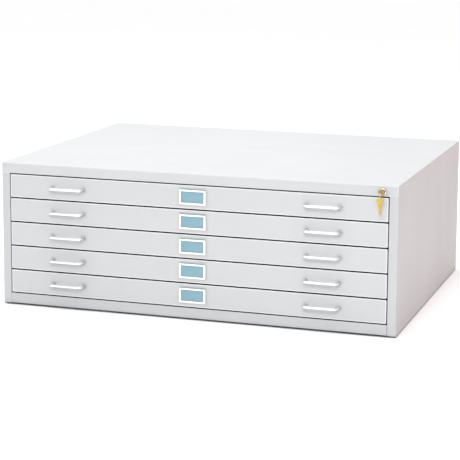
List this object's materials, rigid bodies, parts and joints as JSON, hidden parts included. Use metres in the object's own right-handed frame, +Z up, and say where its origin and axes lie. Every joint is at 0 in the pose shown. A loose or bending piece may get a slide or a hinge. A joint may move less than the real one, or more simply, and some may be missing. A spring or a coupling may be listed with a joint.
{
  "type": "flat file cabinet",
  "caption": "Low steel cabinet with a stack of shallow roller drawers for flat drawing sheets, wire pulls, card holders and a keyed lock bar for all drawers.",
  "frame": {"origin": "bottom centre of the whole object's box, on the floor under the feet", "axes": "+X to the right along the width, +Y to the back, +Z up; drawers open towards -Y"},
  "size_m": [1.1778, 0.9368, 0.4226],
  "materials": {
    "enamel": "light grey baked enamel, faint orange peel, satin",
    "zinc": "zinc plated, dull",
    "chrome": "bright plated",
    "label": "white stamped frame, satin",
    "card": "blue paper index card, matte",
    "nylon": "natural nylon",
    "brass": "stamped key brass",
    "steel": "bright steel"
  },
  "bodies": {
    "case": {"top_cap": "enamel", "left_side_panel": "enamel", "right_side_panel": "enamel", "back_panel": "enamel", "bottom_pan": "enamel", "left_rail_ladder": "zinc", "right_rail_ladder": "zinc", "lock_housing": "chrome", "lock_nut": "steel"},
    "lock_plug": {"lock_plug": "brass", "lock_cam": "steel", "key": "brass"},
    "key_ring": {"key_ring": "steel"},
    "spare_key": {"spare_key": "brass"},
    "lock_bar": {"lock_bar": "zinc"},
    "drawer_1": {"drawer_1_tray": "enamel", "drawer_1_front": "enamel", "drawer_1_left_handle": "chrome", "drawer_1_right_handle": "chrome", "drawer_1_label_holder": "label"},
    "drawer_1_depressor": {"drawer_1_depressor": "enamel"},
    "drawer_1_rear_axle": {"drawer_1_rear_axle": "nylon"},
    "left_front_roller_1": {"left_front_roller_1": "nylon"},
    "right_front_roller_1": {"right_front_roller_1": "nylon"},
    "drawer_2": {"drawer_2_tray": "enamel", "drawer_2_front": "enamel", "drawer_2_left_handle": "chrome", "drawer_2_right_handle": "chrome", "drawer_2_label_holder": "label"},
    "drawer_2_depressor": {"drawer_2_depressor": "enamel"},
    "drawer_2_rear_axle": {"drawer_2_rear_axle": "nylon"},
    "left_front_roller_2": {"left_front_roller_2": "nylon"},
    "right_front_roller_2": {"right_front_roller_2": "nylon"},
    "drawer_3": {"drawer_3_tray": "enamel", "drawer_3_front": "enamel", "drawer_3_left_handle": "chrome", "drawer_3_right_handle": "chrome", "drawer_3_label_holder": "label"},
    "drawer_3_depressor": {"drawer_3_depressor": "enamel"},
    "drawer_3_rear_axle": {"drawer_3_rear_axle": "nylon"},
    "left_front_roller_3": {"left_front_roller_3": "nylon"},
    "right_front_roller_3": {"right_front_roller_3": "nylon"},
    "drawer_4": {"drawer_4_tray": "enamel", "drawer_4_front": "enamel", "drawer_4_left_handle": "chrome", "drawer_4_right_handle": "chrome", "drawer_4_label_holder": "label"},
    "drawer_4_depressor": {"drawer_4_depressor": "enamel"},
    "drawer_4_rear_axle": {"drawer_4_rear_axle": "nylon"},
    "left_front_roller_4": {"left_front_roller_4": "nylon"},
    "right_front_roller_4": {"right_front_roller_4": "nylon"},
    "drawer_5": {"drawer_5_tray": "enamel", "drawer_5_front": "enamel", "drawer_5_left_handle": "chrome", "drawer_5_right_handle": "chrome", "drawer_5_label_holder": "label"},
    "drawer_5_depressor": {"drawer_5_depressor": "enamel"},
    "drawer_5_rear_axle": {"drawer_5_rear_axle": "nylon"},
    "left_front_roller_5": {"left_front_roller_5": "nylon"},
    "right_front_roller_5": {"right_front_roller_5": "nylon"}
  },
  "joints": [
    {"name": "drawer_1_slide", "type": "slide", "parent": "case", "child": "drawer_1", "axis": [0, -1, 0], "range_m": [0, 0.6]},
    {"name": "drawer_1_depressor_hinge", "type": "hinge", "parent": "drawer_1", "child": "drawer_1_depressor", "pos_m": [0, -0.4001, 0.37028], "axis": [1, 0, 0], "range_deg": [0, 17]},
    {"name": "drawer_1_rear_axle_spin", "type": "hinge", "parent": "drawer_1", "child": "drawer_1_rear_axle", "pos_m": [0, 0.4269, 0.35758], "axis": [1, 0, 0], "continuous": true},
    {"name": "left_front_roller_1_spin", "type": "hinge", "parent": "case", "child": "left_front_roller_1", "pos_m": [-0.5582, -0.3801, 0.36698], "axis": [1, 0, 0], "continuous": true},
    {"name": "right_front_roller_1_spin", "type": "hinge", "parent": "case", "child": "right_front_roller_1", "pos_m": [0.5582, -0.3801, 0.36698], "axis": [1, 0, 0], "continuous": true},
    {"name": "drawer_2_slide", "type": "slide", "parent": "case", "child": "drawer_2", "axis": [0, -1, 0], "range_m": [0, 0.6]},
    {"name": "drawer_2_depressor_hinge", "type": "hinge", "parent": "drawer_2", "child": "drawer_2_depressor", "pos_m": [0, -0.4001, 0.29946], "axis": [1, 0, 0], "range_deg": [0, 17]},
    {"name": "drawer_2_rear_axle_spin", "type": "hinge", "parent": "drawer_2", "child": "drawer_2_rear_axle", "pos_m": [0, 0.4269, 0.28676], "axis": [1, 0, 0], "continuous": true},
    {"name": "left_front_roller_2_spin", "type": "hinge", "parent": "case", "child": "left_front_roller_2", "pos_m": [-0.5582, -0.3801, 0.29616], "axis": [1, 0, 0], "continuous": true},
    {"name": "right_front_roller_2_spin", "type": "hinge", "parent": "case", "child": "right_front_roller_2", "pos_m": [0.5582, -0.3801, 0.29616], "axis": [1, 0, 0], "continuous": true},
    {"name": "drawer_3_slide", "type": "slide", "parent": "case", "child": "drawer_3", "axis": [0, -1, 0], "range_m": [0, 0.6]},
    {"name": "drawer_3_depressor_hinge", "type": "hinge", "parent": "drawer_3", "child": "drawer_3_depressor", "pos_m": [0, -0.4001, 0.22864], "axis": [1, 0, 0], "range_deg": [0, 17]},
    {"name": "drawer_3_rear_axle_spin", "type": "hinge", "parent": "drawer_3", "child": "drawer_3_rear_axle", "pos_m": [0, 0.4269, 0.21594], "axis": [1, 0, 0], "continuous": true},
    {"name": "left_front_roller_3_spin", "type": "hinge", "parent": "case", "child": "left_front_roller_3", "pos_m": [-0.5582, -0.3801, 0.22534], "axis": [1, 0, 0], "continuous": true},
    {"name": "right_front_roller_3_spin", "type": "hinge", "parent": "case", "child": "right_front_roller_3", "pos_m": [0.5582, -0.3801, 0.22534], "axis": [1, 0, 0], "continuous": true},
    {"name": "drawer_4_slide", "type": "slide", "parent": "case", "child": "drawer_4", "axis": [0, -1, 0], "range_m": [0, 0.6]},
    {"name": "drawer_4_depressor_hinge", "type": "hinge", "parent": "drawer_4", "child": "drawer_4_depressor", "pos_m": [0, -0.4001, 0.15782], "axis": [1, 0, 0], "range_deg": [0, 17]},
    {"name": "drawer_4_rear_axle_spin", "type": "hinge", "parent": "drawer_4", "child": "drawer_4_rear_axle", "pos_m": [0, 0.4269, 0.14512], "axis": [1, 0, 0], "continuous": true},
    {"name": "left_front_roller_4_spin", "type": "hinge", "parent": "case", "child": "left_front_roller_4", "pos_m": [-0.5582, -0.3801, 0.15452], "axis": [1, 0, 0], "continuous": true},
    {"name": "right_front_roller_4_spin", "type": "hinge", "parent": "case", "child": "right_front_roller_4", "pos_m": [0.5582, -0.3801, 0.15452], "axis": [1, 0, 0], "continuous": true},
    {"name": "drawer_5_slide", "type": "slide", "parent": "case", "child": "drawer_5", "axis": [0, -1, 0], "range_m": [0, 0.6]},
    {"name": "drawer_5_depressor_hinge", "type": "hinge", "parent": "drawer_5", "child": "drawer_5_depressor", "pos_m": [0, -0.4001, 0.087], "axis": [1, 0, 0], "range_deg": [0, 17]},
    {"name": "drawer_5_rear_axle_spin", "type": "hinge", "parent": "drawer_5", "child": "drawer_5_rear_axle", "pos_m": [0, 0.4269, 0.0743], "axis": [1, 0, 0], "continuous": true},
    {"name": "left_front_roller_5_spin", "type": "hinge", "parent": "case", "child": "left_front_roller_5", "pos_m": [-0.5582, -0.3801, 0.0837], "axis": [1, 0, 0], "continuous": true},
    {"name": "right_front_roller_5_spin", "type": "hinge", "parent": "case", "child": "right_front_roller_5", "pos_m": [0.5582, -0.3801, 0.0837], "axis": [1, 0, 0], "continuous": true},
    {"name": "lock_turn", "type": "hinge", "parent": "case", "child": "lock_plug", "pos_m": [0.545, -0.4301, 0.4035], "axis": [0, -1, 0], "range_deg": [0, 90]},
    {"name": "key_ring_hang", "type": "hinge", "parent": "lock_plug", "child": "key_ring", "pos_m": [0.545, -0.4301, 0.4035], "axis": [0, -1, 0], "range_deg": [-90, 0]},
    {"name": "spare_key_swing", "type": "hinge", "parent": "key_ring", "child": "spare_key", "pos_m": [0.545, -0.4597, 0.39765], "axis": [-1, 0, 0], "range_deg": [-30, 60]},
    {"name": "lock_bar_lift", "type": "slide", "parent": "case", "child": "lock_bar", "axis": [0, 0, 1], "range_m": [0, 0.01]}
  ],
  "couplings": [
    {"joint": "drawer_1_rear_axle_spin", "follows": "drawer_1_slide", "rad_per_m": 83.333},
    {"joint": "left_front_roller_1_spin", "follows": "drawer_1_slide", "rad_per_m": 83.333},
    {"joint": "right_front_roller_1_spin", "follows": "drawer_1_slide", "rad_per_m": 83.333},
    {"joint": "drawer_2_rear_axle_spin", "follows": "drawer_2_slide", "rad_per_m": 83.333},
    {"joint": "left_front_roller_2_spin", "follows": "drawer_2_slide", "rad_per_m": 83.333},
    {"joint": "right_front_roller_2_spin", "follows": "drawer_2_slide", "rad_per_m": 83.333},
    {"joint": "drawer_3_rear_axle_spin", "follows": "drawer_3_slide", "rad_per_m": 83.333},
    {"joint": "left_front_roller_3_spin", "follows": "drawer_3_slide", "rad_per_m": 83.333},
    {"joint": "right_front_roller_3_spin", "follows": "drawer_3_slide", "rad_per_m": 83.333},
    {"joint": "drawer_4_rear_axle_spin", "follows": "drawer_4_slide", "rad_per_m": 83.333},
    {"joint": "left_front_roller_4_spin", "follows": "drawer_4_slide", "rad_per_m": 83.333},
    {"joint": "right_front_roller_4_spin", "follows": "drawer_4_slide", "rad_per_m": 83.333},
    {"joint": "drawer_5_rear_axle_spin", "follows": "drawer_5_slide", "rad_per_m": 83.333},
    {"joint": "left_front_roller_5_spin", "follows": "drawer_5_slide", "rad_per_m": 83.333},
    {"joint": "right_front_roller_5_spin", "follows": "drawer_5_slide", "rad_per_m": 83.333},
    {"joint": "lock_turn", "follows": "lock_bar_lift", "rad_per_m": 157.08},
    {"joint": "key_ring_hang", "follows": "lock_bar_lift", "rad_per_m": -157.08}
  ]
}
